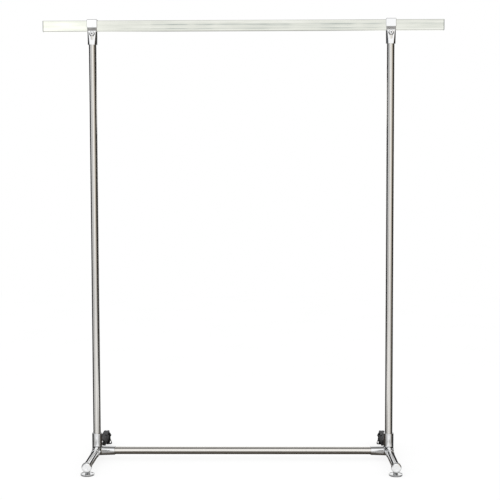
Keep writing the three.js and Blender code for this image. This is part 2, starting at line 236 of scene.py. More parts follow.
def turn_axis(v, axis):
    """Points made about +Z, laid along another axis: h runs along +axis."""
    x, y, z = v.T
    if axis == "z":
        return np.stack([x, y, z], 1)
    if axis == "y":
        return np.stack([x, z, -y], 1)
    if axis == "x":
        return np.stack([z, y, -x], 1)
    raise ValueError(axis)


def piece(name, verts, faces, body, material, nodes=(), sharp=32, cutters=(), weigh=True):
    """A closed mesh from points in mm in the row frame, riding on a body in place of CAD nodes."""
    me = bpy.data.meshes.new(name)
    v = np.asarray(verts, float) * MM
    me.from_pydata(v.tolist(), [], [tuple(int(i) for i in f) for f in faces])
    me.validate()
    bm = bmesh.new()
    bm.from_mesh(me)
    bmesh.ops.remove_doubles(bm, verts=bm.verts, dist=1e-7)
    bmesh.ops.recalc_face_normals(bm, faces=bm.faces)
    if bm.calc_volume(signed=True) < 0:
        bmesh.ops.reverse_faces(bm, faces=bm.faces)
    bm.to_mesh(me)
    bm.free()
    ob = bpy.data.objects.new(name, me)
    scene.collection.objects.link(ob)
    for cv, cf in cutters:
        cm = bpy.data.meshes.new("cutter")
        cm.from_pydata((np.asarray(cv) * MM).tolist(), [], cf)
        cb = bmesh.new()
        cb.from_mesh(cm)
        bmesh.ops.recalc_face_normals(cb, faces=cb.faces)
        cb.to_mesh(cm)
        cb.free()
        co = bpy.data.objects.new("cutter", cm)
        scene.collection.objects.link(co)
        mod = ob.modifiers.new("cut", "BOOLEAN")
        mod.operation, mod.solver, mod.object = "DIFFERENCE", "EXACT", co
        bpy.context.view_layer.update()
        new = bpy.data.meshes.new_from_object(ob.evaluated_get(bpy.context.evaluated_depsgraph_get()))
        ob.modifiers.clear()
        ob.data = new
        bpy.data.objects.remove(co)
        new.name = name
    me = ob.data
    me.shade_smooth()
    me.set_sharp_from_angle(angle=math.radians(sharp))
    if weigh:  # large faces keep their own normals beside small rounded edges
        mod = ob.modifiers.new("weigh", "WEIGHTED_NORMAL")
        mod.keep_sharp = True
        bpy.context.view_layer.update()
        new = bpy.data.meshes.new_from_object(ob.evaluated_get(bpy.context.evaluated_depsgraph_get()))
        ob.modifiers.clear()
        ob.data = new
        new.name = name
        me = new
    me.materials.clear()
    me.materials.append(material)
    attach(ob, body)
    if nodes:
        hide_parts(*nodes)
    return ob


# ================================================================ materials
def node_material(name):
    m = bpy.data.materials.new(name)
    m.use_nodes = True
    nt = m.node_tree
    nt.nodes.clear()
    out = nt.nodes.new("ShaderNodeOutputMaterial")
    p = nt.nodes.new("ShaderNodeBsdfPrincipled")
    nt.links.new(p.outputs[0], out.inputs[0])
    return m, nt, p


def coords(nt, scale):
    tc = nt.nodes.new("ShaderNodeTexCoord")
    mp = nt.nodes.new("ShaderNodeMapping")
    mp.inputs["Scale"].default_value = scale
    nt.links.new(tc.outputs["Object"], mp.inputs["Vector"])
    return mp.outputs[0]


def noise(nt, vec, scale, detail=3, rough=0.5, distortion=0.0):
    n = nt.nodes.new("ShaderNodeTexNoise")
    n.inputs["Scale"].default_value = scale
    n.inputs["Detail"].default_value = detail
    n.inputs["Roughness"].default_value = rough
    n.inputs["Distortion"].default_value = distortion
    nt.links.new(vec, n.inputs["Vector"])
    return n.outputs["Fac"]


def remap(nt, value, a, b, c, d, clamp=True):
    r = nt.nodes.new("ShaderNodeMapRange")
    r.clamp = clamp
    for k, v in zip(("From Min", "From Max", "To Min", "To Max"), (a, b, c, d)):
        r.inputs[k].default_value = v
    nt.links.new(value, r.inputs["Value"])
    return r.outputs[0]


def math2(nt, op, a, b):
    m = nt.nodes.new("ShaderNodeMath")
    m.operation = op
    for i, v in enumerate((a, b)):
        if isinstance(v, (int, float)):
            m.inputs[i].default_value = v
        else:
            nt.links.new(v, m.inputs[i])
    return m.outputs[0]


def ramp(nt, value, stops):
    r = nt.nodes.new("ShaderNodeValToRGB")
    e = r.color_ramp.elements
    while len(e) < len(stops):
        e.new(0.5)
    for el, (pos, col) in zip(e, stops):
        el.position = pos
        el.color = (*col, 1)
    nt.links.new(value, r.inputs[0])
    return r.outputs[0]


def bump(nt, height, distance, strength=1.0, normal=None):
    b = nt.nodes.new("ShaderNodeBump")
    b.inputs["Distance"].default_value = distance
    b.inputs["Strength"].default_value = strength
    nt.links.new(height, b.inputs["Height"])
    if normal is not None:
        nt.links.new(normal, b.inputs["Normal"])
    return b.outputs[0]


AXIS = {"x": 0, "y": 1, "z": 2}


def along(axis, long, cross):
    """Mapping scale with a pattern stretched along one axis."""
    s = [cross, cross, cross]
    s[AXIS[axis]] = long
    return s


def satin_tube(name, axis, base, rough):
    """Stainless tube, linished along its length: fine long grain, faint handling haze."""
    m, nt, p = node_material(name)
    p.inputs["Metallic"].default_value = 1.0
    fine = noise(nt, coords(nt, along(axis, 6, 1500)), 1.0, 2, 0.6)
    coarse = noise(nt, coords(nt, along(axis, 1.6, 330)), 1.0, 3, 0.55)
    haze = noise(nt, coords(nt, (9, 9, 9)), 1.0, 4, 0.6)
    mixed = math2(nt, "ADD", math2(nt, "MULTIPLY", coarse, 0.6), math2(nt, "MULTIPLY", haze, 0.4))
    b = np.array(base)
    nt.links.new(ramp(nt, mixed, [(0.3, b * 0.955), (0.5, b), (0.72, np.minimum(b * 1.03, 1))]), p.inputs["Base Color"])
    nt.links.new(remap(nt, math2(nt, "ADD", math2(nt, "MULTIPLY", coarse, 0.5), math2(nt, "MULTIPLY", haze, 0.5)), 0.25, 0.75, rough - 0.045, rough + 0.05), p.inputs["Roughness"])
    n1 = bump(nt, coarse, 0.00002, 0.5)
    nt.links.new(bump(nt, fine, 0.000004, 0.6, n1), p.inputs["Normal"])
    return m


def chrome(name, base=(0.86, 0.865, 0.87), rough=0.045, wave=0.00008, freq=60, axis=None):
    """Bright plate over polished metal: very slight waviness, faint wiping haze."""
    m, nt, p = node_material(name)
    p.inputs["Metallic"].default_value = 1.0
    scale = (1, 1, 1) if axis is None else along(axis, 0.12, 1.0)
    w = noise(nt, coords(nt, scale), freq, 2, 0.4)
    haze = noise(nt, coords(nt, (1, 1, 1)), 34, 5, 0.62, 0.6)
    specks = noise(nt, coords(nt, (1, 1, 1)), 900, 2, 0.5)
    b = np.array(base)
    nt.links.new(ramp(nt, haze, [(0.3, b * 0.965), (0.6, b)]), p.inputs["Base Color"])
    r = math2(nt, "ADD", remap(nt, haze, 0.35, 0.75, rough - 0.012, rough + 0.03), remap(nt, specks, 0.6, 0.8, 0.0, 0.02))
    nt.links.new(r, p.inputs["Roughness"])
    nt.links.new(bump(nt, w, wave, 0.6), p.inputs["Normal"])
    return m


def mirror_rail(name):
    """Rail polished along its length: bright, faintly greenish, with painted reflection: grey bands at fixed heights
    laid into the colour, broken by small bright patches.
    """
    m, nt, p = node_material(name)
    p.inputs["Metallic"].default_value = 1.0
    lines = noise(nt, coords(nt, (0.9, 330, 330)), 1.0, 2, 0.5)
    fine = noise(nt, coords(nt, (5, 1600, 1600)), 1.0, 2, 0.5)
    patches = noise(nt, coords(nt, (8, 4, 60)), 1.0, 3, 0.5)
    sp = nt.nodes.new("ShaderNodeSeparateXYZ")
    nt.links.new(coords(nt, (1, 1, 1)), sp.inputs[0])
    tone = math2(nt, "ADD", math2(nt, "MULTIPLY", lines, 0.55), math2(nt, "MULTIPLY", patches, 0.45))
    # painted reflection: dark grey bands at three fixed heights, faded in from the left end, weaker towards the right
    # end and broken along the length
    bands = None
    for z0, half, deep in ((1.6468, 0.0036, 1.0), (1.6322, 0.0030, 0.75), (1.6405, 0.0012, 0.4)):
        away = math2(nt, "ABSOLUTE", math2(nt, "SUBTRACT", sp.outputs["Z"], z0), 0.0)
        b1 = remap(nt, away, 0.25 * half, half, deep, 0.0)
        bands = b1 if bands is None else math2(nt, "MAXIMUM", bands, b1)
    reach = math2(nt, "MULTIPLY", remap(nt, sp.outputs["X"], -0.47, -0.36, 0.0, 1.0), remap(nt, sp.outputs["X"], 0.44, 0.60, 1.0, 0.25))
    breaks = remap(nt, noise(nt, coords(nt, (6.5, 0, 0)), 1.0, 2, 0.5), 0.40, 0.56, 1.0, 0.25)
    painted_reflection = math2(nt, "MULTIPLY", bands, math2(nt, "MULTIPLY", reach, breaks))
    shade = math2(nt, "SUBTRACT", tone, math2(nt, "MULTIPLY", painted_reflection, 0.55))
    nt.links.new(ramp(nt, shade, [(0.0, (0.42, 0.45, 0.42)), (0.22, (0.53, 0.555, 0.52)), (0.42, (0.66, 0.675, 0.62)), (0.52, (0.72, 0.73, 0.67)), (0.66, (0.80, 0.81, 0.76))]), p.inputs["Base Color"])
    nt.links.new(remap(nt, tone, 0.3, 0.7, 0.09, 0.05), p.inputs["Roughness"])
    n1 = bump(nt, lines, 0.00006, 0.5)
    nt.links.new(bump(nt, fine, 0.000004, 0.5, n1), p.inputs["Normal"])
    return m


def zinc(name, base=(0.60, 0.61, 0.62)):
    """Zinc-plated steel: slightly clouded, worn brighter on the edges."""
    m, nt, p = node_material(name)
    p.inputs["Metallic"].default_value = 1.0
    cloud = noise(nt, coords(nt, (1, 1, 1)), 260, 4, 0.6)
    fine = noise(nt, coords(nt, (1, 1, 1)), 1800, 2, 0.5)
    geo = nt.nodes.new("ShaderNodeNewGeometry")
    edge = remap(nt, geo.outputs["Pointiness"], 0.5, 0.56, 0.0, 0.35)
    tone = math2(nt, "ADD", math2(nt, "MULTIPLY", cloud, 0.8), edge)
    b = np.array(base)
    nt.links.new(ramp(nt, tone, [(0.3, b * 0.84), (0.55, b), (0.8, np.minimum(b * 1.2, 1))]), p.inputs["Base Color"])
    nt.links.new(remap(nt, cloud, 0.3, 0.7, 0.26, 0.40), p.inputs["Roughness"])
    nt.links.new(bump(nt, fine, 0.00001, 0.6), p.inputs["Normal"])
    return m


def moulded(name, base, rough, grain=0.00003, freq=1500, edge_gain=1.8, shine=0.5):
    """Moulded nylon, plastic or rubber: fine spark-eroded grain, a little lighter where the edges are rubbed."""
    m, nt, p = node_material(name)
    p.inputs["Specular IOR Level"].default_value = shine
    fine = noise(nt, coords(nt, (1, 1, 1)), freq, 3, 0.6)
    cloud = noise(nt, coords(nt, (1, 1, 1)), 90, 4, 0.6)
    geo = nt.nodes.new("ShaderNodeNewGeometry")
    edge = remap(nt, geo.outputs["Pointiness"], 0.505, 0.57, 0.0, 0.5)
    tone = math2(nt, "ADD", math2(nt, "MULTIPLY", cloud, 0.6), edge)
    b = np.array(base)
    nt.links.new(ramp(nt, tone, [(0.2, b * 0.8), (0.4, b), (0.9, np.minimum(b * edge_gain, 1))]), p.inputs["Base Color"])
    nt.links.new(remap(nt, cloud, 0.3, 0.7, rough - 0.06, rough + 0.08), p.inputs["Roughness"])
    nt.links.new(bump(nt, fine, grain, 0.7), p.inputs["Normal"])
    return m


def paint_shade(m, mask_of, dark=(0.010, 0.009, 0.008), rough=0.6):
    """Painted shade: dark, matte colour in a seam or key socket where shadow falls, where the mask made from object
    coordinates is 1.
    """
    nt = m.node_tree
    p = [n for n in nt.nodes if n.type == "BSDF_PRINCIPLED"][0]
    sp = nt.nodes.new("ShaderNodeSeparateXYZ")
    nt.links.new(coords(nt, (1, 1, 1)), sp.inputs[0])
    dx = math2(nt, "SUBTRACT", math2(nt, "ABSOLUTE", sp.outputs["X"], 0.0), UX / 1000)
    dz = math2(nt, "SUBTRACT", sp.outputs["Z"], SCREW_Z / 1000)
    r = math2(nt, "SQRT", math2(nt, "ADD", math2(nt, "MULTIPLY", dx, dx), math2(nt, "MULTIPLY", dz, dz)), 0.0)
    mask = mask_of(nt, r, sp.outputs["Y"], dz)
    clean = p.inputs["Base Color"].links[0].from_socket
    x = nt.nodes.new("ShaderNodeMix")
    x.data_type = "RGBA"
    nt.links.new(mask, x.inputs["Factor"])
    ia, ib = [q for q in x.inputs if q.type == "RGBA"]
    nt.links.new(clean, ia)
    ib.default_value = (*dark, 1)
    nt.links.new([q for q in x.outputs if q.type == "RGBA"][0], p.inputs["Base Color"])
    nt.links.new(remap(nt, mask, 0, 1, 1, 0), p.inputs["Metallic"])
    nt.links.new(math2(nt, "ADD", p.inputs["Roughness"].links[0].from_socket, math2(nt, "MULTIPLY", mask, rough)), p.inputs["Roughness"])


# painted shadow: a dark ring round the clamp screw head on the clamp's front, strongest below the head
def under_head_shadow_mask(nt, r, y, dz):
    ring = math2(nt, "MULTIPLY", remap(nt, r, 0.0080, 0.0084, 0, 1), remap(nt, r, 0.0098, 0.0112, 1, 0))
    low = remap(nt, dz, -0.001, 0.004, 1.0, 0.12)
    return math2(nt, "MULTIPLY", math2(nt, "MULTIPLY", ring, low), remap(nt, y, -0.0105, -0.0100, 1, 0))


# painted shade inside the clamp screw's key socket
def key_socket_shade_mask(nt, r, y, dz):
    return math2(nt, "MULTIPLY", remap(nt, r, 0.0030, 0.0034, 1, 0), remap(nt, y, -0.0184, -0.0180, 0, 1))


SATIN_BASE = (0.74, 0.725, 0.695)
satin_z = satin_tube("satin_steel_vertical", "z", SATIN_BASE, 0.15)
satin_x = satin_tube("satin_steel_across", "x", (0.80, 0.775, 0.735), 0.15)
cast_chrome = chrome("chrome_plated_casting", rough=0.05, wave=0.00010, freq=70)
tube_chrome = chrome("chrome_plated_tube", rough=0.035, wave=0.00005, freq=50, axis="y")
screw_chrome = chrome("chrome_plated_screw", rough=0.06, wave=0.00003, freq=160)
foot_chrome = chrome("chrome_plated_foot", rough=0.06, wave=0.00006, freq=110)
cap_chrome = chrome("chrome_plated_cap", rough=0.075, wave=0.00012, freq=120)
rail_steel = mirror_rail("mirror_polished_steel")
bracket_chrome = chrome("chrome_plated_clamp", rough=0.05, wave=0.00010, freq=70)
# painted shadow under the clamp screw head and painted shade inside its key socket
paint_shade(bracket_chrome, under_head_shadow_mask)
paint_shade(screw_chrome, key_socket_shade_mask)
zinc_plate = zinc("zinc_plated_steel")
plug_grey = moulded("light_grey_plastic", (0.27, 0.28, 0.265), 0.40, 0.00002, 1300, 1.2, 0.35)
nylon = moulded("black_nylon", (0.016, 0.0155, 0.017), 0.55, 0.00004, 1300, 3.0, 0.3)
pedal_nylon = moulded("black_pedal_nylon", (0.005, 0.005, 0.0055), 0.5, 0.00004, 1300, 2.0, 0.2)
enamel = moulded("black_enamel", (0.008, 0.008, 0.009), 0.34, 0.00001, 500, 2.4, 0.4)
tread = moulded("castor_tread", (0.010, 0.010, 0.011), 0.68, 0.00003, 1700, 2.2, 0.3)
rubber = moulded("foot_rubber", (0.012, 0.012, 0.013), 0.75, 0.00004, 1500, 2.0, 0.3)


# ================================================================ hanging rail
def rounded_rect(w, h, r, n=7):
    pts = []
    for cx, cy, a0 in ((w / 2 - r, h / 2 - r, 0), (-w / 2 + r, h / 2 - r, 90), (-w / 2 + r, -h / 2 + r, 180), (w / 2 - r, -h / 2 + r, 270)):
        for k in range(n + 1):
            a = math.radians(a0 + 90 * k / n)
            pts.append((cx + r * math.cos(a), cy + r * math.sin(a)))
    return pts


def loft(sections, closed=False):
    """Sections of equal length, as 3-D points, joined one to the next; the ends are capped unless closed."""
    n = len(sections[0])
    verts = [p for s in sections for p in s]
    faces = []
    m = len(sections)
    for i in range(m if closed else m - 1):
        a, b = i * n, ((i + 1) % m) * n
        for k in range(n):
            j = (k + 1) % n
            faces.append((a + k, a + j, b + j, b + k))
    if not closed:
        faces.append(tuple(range(n - 1, -1, -1)))
        faces.append(tuple((m - 1) * n + k for k in range(n)))
    return np.array(verts, float), faces


rail_cx, rail_half = (RAIL_LO.x + RAIL_HI.x) / 2, (RAIL_HI.x - RAIL_LO.x) / 2
rail_cz = RAIL_BOTTOM + 20


def rect_ring(x, w, h, r, cz=rail_cz, cy=0.0):
    return [(x, cy + a, cz + b) for a, b in rounded_rect(w, h, r)]


e = 0.25
outer, inner = (20, 40, 2.0), (17.6, 37.6, 0.8)
xa, xb = rail_cx - rail_half, rail_cx + rail_half
stations = [xa + e] + list(np.linspace(xa + 8, xb - 8, 61)) + [xb - e]
rings = [rect_ring(xa, 20 - 2 * e, 40 - 2 * e, 1.75)] + [rect_ring(x, *outer) for x in stations] + [rect_ring(xb, 20 - 2 * e, 40 - 2 * e, 1.75)]
rings += [rect_ring(xb, *inner)] + [rect_ring(x, *inner) for x in (xb - 30, xa + 30)] + [rect_ring(xa, *inner)]
v, f = loft(rings, closed=True)
piece("hanging_rail", v, f, "frame", rail_steel, ["top_rail"])

for name, s in SIDES:
    x1 = 6.5 + s * 750.0
    o = lambda d: x1 - s * d  # depth from the outer face
    rings = [rect_ring(o(0), 17.6, 37.6, 1.0), rect_ring(o(0.12), 18.6, 38.6, 1.4), rect_ring(o(0.45), 19.5, 39.5, 1.8), rect_ring(o(0.95), 19.96, 39.96, 2.0),
             rect_ring(o(2.45), 19.96, 39.96, 2.0), rect_ring(o(2.7), 19.5, 39.5, 1.8), rect_ring(o(2.7), 17, 37, 1.4), rect_ring(o(20.0), 17, 37, 1.4), rect_ring(o(20.7), 16.4, 36.4, 1.2),
             rect_ring(o(20.7), 13.4, 33.4, 0.5), rect_ring(o(3.2), 13.4, 33.4, 0.5)]
    v, f = loft(rings)
    piece("rail_end_cap_" + name, v, f, "frame", plug_grey, ["rail_end_plug_" + name])

# ================================================================ tubes
def tube(name, axis, a, b, centre, material, node, cutters=(), bands=1):
    ro, ri = TUBE_R, TUBE_R - TUBE_WALL
    mid = [(ro, a + 1.2)] + [(ro, a + 1.2 + (b - a - 2.4) * k / bands) for k in range(1, bands)] + [(ro, b - 1.2)]
    prof = soften([(ri, a, 0.25), (ro, a, 0.3)], 0.3, 2, closed=True)
    prof = [(ri, a + 0.25), (ri + 0.25, a), (ro - 0.3, a), (ro - 0.09, a + 0.09), (ro, a + 0.3)] + mid + \
           [(ro, b - 0.3), (ro - 0.09, b - 0.09), (ro - 0.3, b), (ri + 0.25, b), (ri, b - 0.25)]
    v, f = revolve(prof, 96, closed=True)
    v = turn_axis(v, axis) + np.array(centre, float)
    return piece(name, v, f, "frame", material, [node], cutters=cutters)


tube("crossbar_tube", "x", -(UX - 20), UX - 20, (0, 0, BASE_Z), satin_x, "crossbar", bands=24)
for name, s in SIDES:
    tube("upright_tube_" + name, "z", BASE_Z + 20, RAIL_BOTTOM - 17.3, (s * UX, 0, 0), satin_z, "upright_" + name, bands=30)
    hole = revolve([(0, 5), (4.5, 5), (4.5, 30), (0, 30)], 48)
    tube("front_leg_tube_" + name, "y", -249, -20, (s * UX, 0, BASE_Z), tube_chrome, "front_leg_" + name, bands=12,
         cutters=[(hole[0] + np.array([s * UX, FOOT_Y, 0]), hole[1])])
    tube("rear_leg_tube_" + name, "y", 20, 205, (s * UX, 0, BASE_Z), tube_chrome, "rear_leg_" + name, bands=10)

# ================================================================ castings
BW, TOP, BOT = 19.3, RAIL_BOTTOM + 44.5, RAIL_BOTTOM - 50


def bracket_sdf(x, y, z):
    rad = np.hypot(x, y)
    ay = np.abs(y)
    # upper block with rounded upright edges and a small bevel along its top
    q = smax(smax(np.abs(x) - BW, ay - 15.0, 2.0), span(z, RAIL_BOTTOM + 14.5, TOP), 1.4)
    q = smax(q, (ay + z - (13.2 + TOP)) / math.sqrt(2), 1.0)
    q = smax(q, (np.abs(x) + z - (BW - 1.4 + TOP)) / math.sqrt(2), 1.0)
    # neck that leans in under the block
    lean = (ay - (12.85 + (z - RAIL_BOTTOM - 1) * 2.15 / 13.5)) / math.hypot(1, 2.15 / 13.5)
    neck = smax(smax(np.abs(x) - 18.0, lean, 1.6), span(z, RAIL_BOTTOM - 1, RAIL_BOTTOM + 16), 0.3)
    # tapered socket, flat at the front and the back
    flat = (ay - (12.85 + (RAIL_BOTTOM + 2 - z) * 3.1 / 53)) / math.hypot(1, 3.1 / 53)
    sock = smax(cone(rad, z, 18.0, BOT, 19.0, RAIL_BOTTOM + 1.2), flat, 0.7)
    sock = smax(sock, span(z, BOT, RAIL_BOTTOM + 1.2), 1.2)
    body = smin(smin(q, neck, 0.5), sock, 0.6)
    window = smax(ay - 10.3, span(z, RAIL_BOTTOM - 0.3, RAIL_BOTTOM + 40.3), 0.8)
    bore = smax(rad - BORE_R, z - (RAIL_BOTTOM - 17), 0.8)
    slit = np.maximum(ay - 0.75, span(z, RAIL_BOTTOM - 18, RAIL_BOTTOM + 1))
    hr = np.hypot(x, z - SCREW_Z)
    hole = hr - 3.3
    seat = np.maximum(hr - 8.8, 12.2 + y)
    back = np.maximum(hr - 7.2, 12.2 - y)
    for c in (window, bore, slit, hole, seat, back):
        body = smax(body, -c, 0.5)
    return body


def connector_sdf(x, y, z):
    """The inward socket runs along +X."""
    R, zz = 18.75, z - BASE_Z
    rx, ry, rz = np.hypot(y, zz), np.hypot(x, zz), np.hypot(x, y)
    up = smax(rz - R, span(z, BASE_Z, BASE_Z + 68.5), 1.4)
    side = smax(cone(rx, x, R, 0, 16.7, 69), span(x, 0, 69), 0.9)
    front = smax(cone(ry, -y, 17.5, 0, 16.4, 58), span(-y, 0, 58), 0.9)
    back = smax(cone(ry, y, R, 0, 16.7, 69), span(y, 0, 69), 0.9)
    ball = np.sqrt(x * x + y * y + zz * zz) - 18.6
    # outer surface first, with the flats, then the sockets blend into each other
    upflat = np.minimum(-15.7 - (z - 51.5) * 3.5 / 28.5 - y, z - 51.5)
    up = smax(up, upflat, 1.2)
    sideflat = np.minimum(np.minimum(-15.6 - (x - 19) * 1.4 / 41 - y, x - 21), (BASE_Z + 11.5) - z)
    body = smin(smin(up, side, 5.0), smin(front, back, 1.5), 5.0)
    body = smin(body, ball, 2.0)
    body = smax(body, sideflat, 1.2)
    for rad, h in ((rz, zz), (rx, x), (ry, -y), (ry, y)):
        body = smax(body, -smax(rad - BORE_R, 18 - h, 0.6), 0.3)
    for c in (np.maximum(np.hypot(x, z - BASE_Z - 48) - 3.3, 10 - y), np.maximum(np.hypot(x - 48, y) - 3.3, zz + 10),
              np.maximum(np.hypot(x, y + 42) - 3.3, zz + 10), np.maximum(np.hypot(x, y - 48) - 3.3, zz + 10)):
        body = smax(body, -c, 0.4)
    return body


fine = 1.0
bv, bf = nets(bracket_sdf, (-19.5, -15.2, BOT), (19.5, 15.2, TOP), 0.66 * fine)
cv, cf = nets(connector_sdf, (-20, -58.5, 13), (69.5, 69.5, 102), 0.72 * fine)
for name, s in SIDES:
    piece("rail_clamp_" + name, bv + np.array([s * UX, 0, 0]), bf, "frame", bracket_chrome, ["rail_bracket_" + name], sharp=50, weigh=False)
    m = cv * np.array([-s, 1, 1]) + np.array([s * UX, 0, 0])
    piece("corner_casting_" + name, m, cf, "frame", cast_chrome, ["base_connector_" + name], sharp=50, weigh=False)


def mount_sdf(x, y, z):
    ry = np.hypot(x, z - BASE_Z)
    sleeve = smax(ry - 16.5, span(y, 108, 214), 1.2)
    collar = smax(ry - 17.6, span(y, 108, 114), 1.2)
    plan = np.where(y > CASTOR_Y, np.hypot(x, y - CASTOR_Y) - 11, np.maximum(np.abs(x) - 11, 186 - y))
    arm = smax(plan, span(z, 46.8, 50.4), 1.2)
    web = smax(poly_sdf(y, z, [(206, 46.9), (224, 46.9), (213, 38), (206, 38)]), np.abs(x) - 6, 0.6)
    body = smin(smin(smin(sleeve, collar, 1.0), arm, 3.0), web, 2.5)
    # the bore for the leg tube, and a hole through the arm for the swivel rivet
    body = smax(body, -smax(ry - BORE_R, y - 210, 0.5), 0.5)
    return smax(body, -np.maximum(np.hypot(x, y - CASTOR_Y) - 3.4, 40 - z), 0.4)


mv, mf = nets(mount_sdf, (-18, 107, 14), (18, 270, 51.5), 0.82 * fine)
for name, s in SIDES:
    piece("castor_holder_" + name, mv + np.array([s * UX, 0, 0]), mf, "frame", nylon, ["castor_mount_" + name], sharp=50, weigh=False)

# ================================================================ clamp screws and small fixings
for name, s in SIDES:
    c = np.array([s * UX, 0, SCREW_Z])
    key = hexagon(5)
    # profile runs from the bottom of the key socket out over the head, down the shank to the tip (h is along +Y)
    head = soften([(5.4, -18.6, 0.5), (7.6, -18.0, 0.8), (8.5, -16.6, 0.8), (8.5, -12.5, 0.3), (3.0, -12.5, 0.2)], 0.4, 4)
    prof = [(0, -15.2), (lambda a: key(a) * 0.999, -15.4), (lambda a: key(a) * 1.0, -18.35), (lambda a: key(a) + 0.3, -18.6)] + head + [(3.0, 16.9), (2.4, 17.6), (0, 17.6)]
    v, f = revolve(prof, 96)
    piece("clamp_screw_" + name, turn_axis(v, "y") + c, f, "frame", screw_chrome, ["pinch_screw_" + name])
    def nut(af, bore, h0, h1, seg=72):
        c0 = af / 2 * 1.02
        prof = [(bore + 0.35, h0), (c0 * 0.985, h0), (hexagon(af, c0 + 0.35), h0 + 0.2), (hexagon(af, c0 + 0.85), h0 + 0.5), (hexagon(af), h0 + 0.85),
                (hexagon(af), h1 - 0.85), (hexagon(af, c0 + 0.85), h1 - 0.5), (hexagon(af, c0 + 0.35), h1 - 0.2), (c0 * 0.985, h1), (bore + 0.35, h1), (bore, h1 - 0.35), (bore, h0 + 0.35)]
        return revolve(prof, seg, closed=True)
    v, f = nut(10, 3.3, 12.5, 17.0)
    piece("clamp_nut_" + name, turn_axis(v, "y") + c, f, "frame", zinc_plate, ["pinch_nut_" + name], sharp=20)

    def set_screw(length):
        k = hexagon(3)
        prof = [(0, length - 2.0), (k, length - 2.0), (k, length - 0.15), (lambda a: k(a) + 0.15, length), (2.75, length), (3.0, length - 0.25), (3.0, 0.5), (2.5, 0), (0, 0)]
        return revolve(prof, 48)
    v, f = set_screw(3.6)
    piece("upright_grub_" + name, turn_axis(v, "y") + np.array([s * UX, BORE_R, BASE_Z + 48]), f, "frame", zinc_plate, ["upright_set_screw_" + name], sharp=25)
    for what, x, y in (("crossbar", -s * 48, 0), ("front_leg", 0, -42), ("rear_leg", 0, 48)):
        v, f = set_screw(2.4 if what == "front_leg" else 2.8)
        v = v * np.array([1, -1, -1]) + np.array([s * UX + x, y, BASE_Z - BORE_R])
        piece(what + "_grub_" + name, v, f, "frame", zinc_plate, [what + "_set_screw_" + name], sharp=25)

    # front leg end: domed cap with a shallow dished face
    prof = soften([(0, -261.3), (5.5, -261.15, 2), (8.6, -261.75, 1.2), (10.6, -262.0, 1.0), (13.2, -261.75, 2), (16.4, -260.6, 2.5), (18.5, -257.6, 2.0), (18.5, -251.2, 0.6), (16.9, -249.3, 0.5), (12.6, -249.3, 0.2), (12.6, -245.0, 0.4), (12.0, -244.6, 0.2), (0, -244.6)], 0.5, 5)
    v, f = revolve(prof, 96)
    piece("leg_end_cap_" + name, turn_axis(v, "y") + np.array([s * UX, 0, BASE_Z]), f, "frame", cap_chrome, ["front_leg_cap_" + name])

    # levelling foot
    fc = np.array([s * UX, FOOT_Y, 0])
    v, f = revolve(soften([(4.3, 21.6), (5.5, 21.6), (5.5, 34.0), (4.3, 34.0)], 0.25, 2, closed=True), 64, closed=True)
    piece("foot_bush_ring_" + name, v + fc, f, "frame", zinc_plate, ["foot_bush_" + name])
    v, f = nut(13, 4.3, 14.5, 18.4)
    piece("foot_jam_nut_" + name, v + fc, f, "frame", zinc_plate, ["foot_lock_nut_" + name], sharp=20)
    # threaded stem: a real helical thread of 1.25 mm pitch cut into the rod
    seg, pitch, z0, z1 = 48, 1.25, 7.6, 40.3
    rows = int((z1 - z0 - 1.6) / pitch * 10)
    prof_v, prof_f = [], []
    for i in range(rows + 1):
        h = z0 + 0.8 + (z1 - z0 - 1.6) * i / rows
        fade = min(1, i / 10, (rows - i) / 10)
        for k in range(seg):
            a = 2 * math.pi * k / seg
            t = ((h / pitch) - k / seg) % 1.0
            depth = 0.62 * fade * (0.5 + 0.5 * math.cos(2 * math.pi * t)) ** 1.4
            r = 4.0 - depth
            prof_v.append((r * math.cos(a), r * math.sin(a), h))
    for i in range(rows):
        for k in range(seg):
            m2 = (k + 1) % seg
            prof_f.append((i * seg + k, i * seg + m2, (i + 1) * seg + m2, (i + 1) * seg + k))
    base0 = len(prof_v)
    for z, r in ((z0, 3.5), (z1, 3.2)):
        for k in range(seg):
            a = 2 * math.pi * k / seg
            prof_v.append((r * math.cos(a), r * math.sin(a), z))
    for k in range(seg):
        m2 = (k + 1) % seg
        prof_f.append((base0 + k, base0 + m2, m2, k))
        prof_f.append((rows * seg + k, rows * seg + m2, base0 + seg + m2, base0 + seg + k))
    prof_f.append(tuple(base0 + k for k in range(seg - 1, -1, -1)))
    prof_f.append(tuple(base0 + seg + k for k in range(seg)))
    piece("foot_threaded_stem_" + name, np.array(prof_v) + fc, prof_f, "foot_stem_" + name, zinc_plate, ["foot_stem_" + name])
    prof = soften([(0, 2.8), (24.2, 2.8, 0.3), (25.5, 3.7, 0.8), (25.5, 5.4, 0.8), (24.4, 6.5, 0.8), (17.5, 8.35, 4), (11.2, 10.3, 2.5), (10.2, 11.3, 0.6), (8.6, 11.7, 0.5), (4.3, 11.7, 0.3), (4.3, 7.3, 0.1), (0, 7.3)], 0.4, 5)
    v, f = revolve(prof, 120)
    piece("foot_disc_" + name, v + fc, f, "foot_" + name, foot_chrome, ["foot_pad_" + name])
    prof = soften([(0, 0.35), (20.2, 0.35, 0.2), (20.8, 0, 0.2), (22.9, 0, 0.5), (24.3, 1.1, 0.5), (24.3, 2.5, 0.2), (0, 2.5)], 0.3, 4)
    v, f = revolve(prof, 120)
    piece("foot_rubber_" + name, v + fc, f, "foot_" + name, rubber, ["foot_sole_" + name])

# ================================================================ castors
CHEEK = [(-11.5, 43.6), (20, 43.6), (29, 41.6), (30.5, 37.5), (28, 33.6), (21, 30), (17.5, 15.5), (12, 13), (6.5, 15.5), (0, 30), (-11, 37)]


